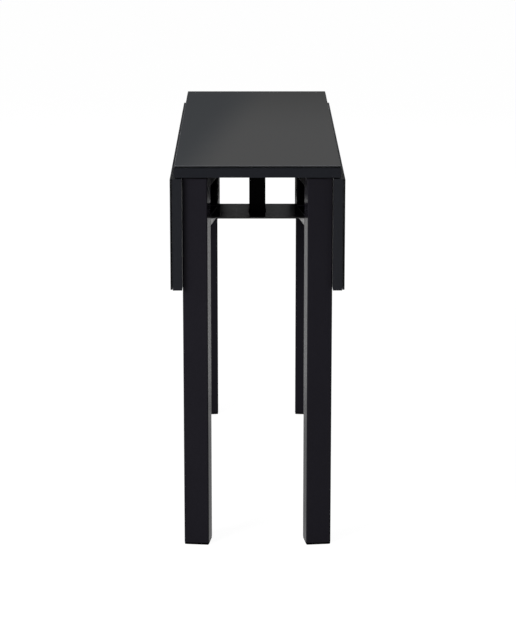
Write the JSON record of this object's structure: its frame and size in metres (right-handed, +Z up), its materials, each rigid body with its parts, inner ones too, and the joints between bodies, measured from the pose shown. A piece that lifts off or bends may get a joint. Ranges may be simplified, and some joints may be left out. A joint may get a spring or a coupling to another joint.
{
  "type": "extending glass table",
  "caption": "Narrow table with a black glass-faced top, side leaves that fold up on hinges, and square legs on swinging gates.",
  "frame": {"origin": "on the floor, under the middle of the top", "axes": "+X to the right leaf, +Y along the length to the rear end, +Z up"},
  "size_m": [0.331, 1, 0.75],
  "materials": {
    "black_glass": "black glass, painted on its underside, polished",
    "adhesive": "dark adhesive film",
    "lacquered_board": "satin black lacquer",
    "black_steel": "satin black powder coat",
    "gloss_steel": "gloss black paint",
    "black_plastic": "black moulded plastic",
    "zinc_steel": "zinc plated",
    "nylon": "black nylon"
  },
  "bodies": {
    "root": {"centre_board": "lacquered_board", "centre_bond": "adhesive", "centre_glass": "black_glass", "front_top_plate": "black_steel", "front_post": "black_steel", "front_cross_plate": "gloss_steel", "front_pivot_rods": "black_steel", "front_plate_screws": "zinc_steel", "rear_top_plate": "black_steel", "rear_post": "black_steel", "rear_cross_plate": "gloss_steel", "rear_pivot_rods": "black_steel", "rear_plate_screws": "zinc_steel", "left_fixed_flaps": "zinc_steel", "left_hinge_pins": "zinc_steel", "left_fixed_screws": "zinc_steel", "right_fixed_flaps": "zinc_steel", "right_hinge_pins": "zinc_steel", "right_fixed_screws": "zinc_steel"},
    "left_leaf": {"left_leaf_board": "lacquered_board", "left_leaf_bond": "adhesive", "left_leaf_glass": "black_glass", "left_leaf_flaps": "zinc_steel", "left_leaf_screws": "zinc_steel"},
    "right_leaf": {"right_leaf_board": "lacquered_board", "right_leaf_bond": "adhesive", "right_leaf_glass": "black_glass", "right_leaf_flaps": "zinc_steel", "right_leaf_screws": "zinc_steel"},
    "front_left_gate": {"front_left_leg": "black_steel", "front_left_foot": "black_plastic", "front_left_cap": "black_plastic", "front_left_upright": "black_steel", "front_left_bushes": "nylon", "front_left_upper_rail": "black_steel", "front_left_lower_rail": "black_steel"},
    "front_right_gate": {"front_right_leg": "black_steel", "front_right_foot": "black_plastic", "front_right_cap": "black_plastic", "front_right_upright": "black_steel", "front_right_bushes": "nylon", "front_right_upper_rail": "black_steel", "front_right_lower_rail": "black_steel"},
    "rear_left_gate": {"rear_left_leg": "black_steel", "rear_left_foot": "black_plastic", "rear_left_cap": "black_plastic", "rear_left_upright": "black_steel", "rear_left_bushes": "nylon", "rear_left_upper_rail": "black_steel", "rear_left_lower_rail": "black_steel"},
    "rear_right_gate": {"rear_right_leg": "black_steel", "rear_right_foot": "black_plastic", "rear_right_cap": "black_plastic", "rear_right_upright": "black_steel", "rear_right_bushes": "nylon", "rear_right_upper_rail": "black_steel", "rear_right_lower_rail": "black_steel"}
  },
  "joints": [
    {"name": "left_leaf_hinge", "type": "hinge", "parent": "root", "child": "left_leaf", "pos_m": [-0.15025, 0, 0.73475], "axis": [0, 1, 0], "range_deg": [0, 90]},
    {"name": "right_leaf_hinge", "type": "hinge", "parent": "root", "child": "right_leaf", "pos_m": [0.15025, 0, 0.73475], "axis": [0, -1, 0], "range_deg": [0, 90]},
    {"name": "front_left_gate_pivot", "type": "hinge", "parent": "root", "child": "front_left_gate", "pos_m": [-0.085, -0.331, 0.67], "axis": [0, 0, 1], "range_deg": [0, 30]},
    {"name": "front_right_gate_pivot", "type": "hinge", "parent": "root", "child": "front_right_gate", "pos_m": [0.085, -0.331, 0.67], "axis": [0, 0, -1], "range_deg": [0, 30]},
    {"name": "rear_left_gate_pivot", "type": "hinge", "parent": "root", "child": "rear_left_gate", "pos_m": [-0.085, 0.331, 0.67], "axis": [0, 0, -1], "range_deg": [0, 30]},
    {"name": "rear_right_gate_pivot", "type": "hinge", "parent": "root", "child": "rear_right_gate", "pos_m": [0.085, 0.331, 0.67], "axis": [0, 0, 1], "range_deg": [0, 30]}
  ]
}
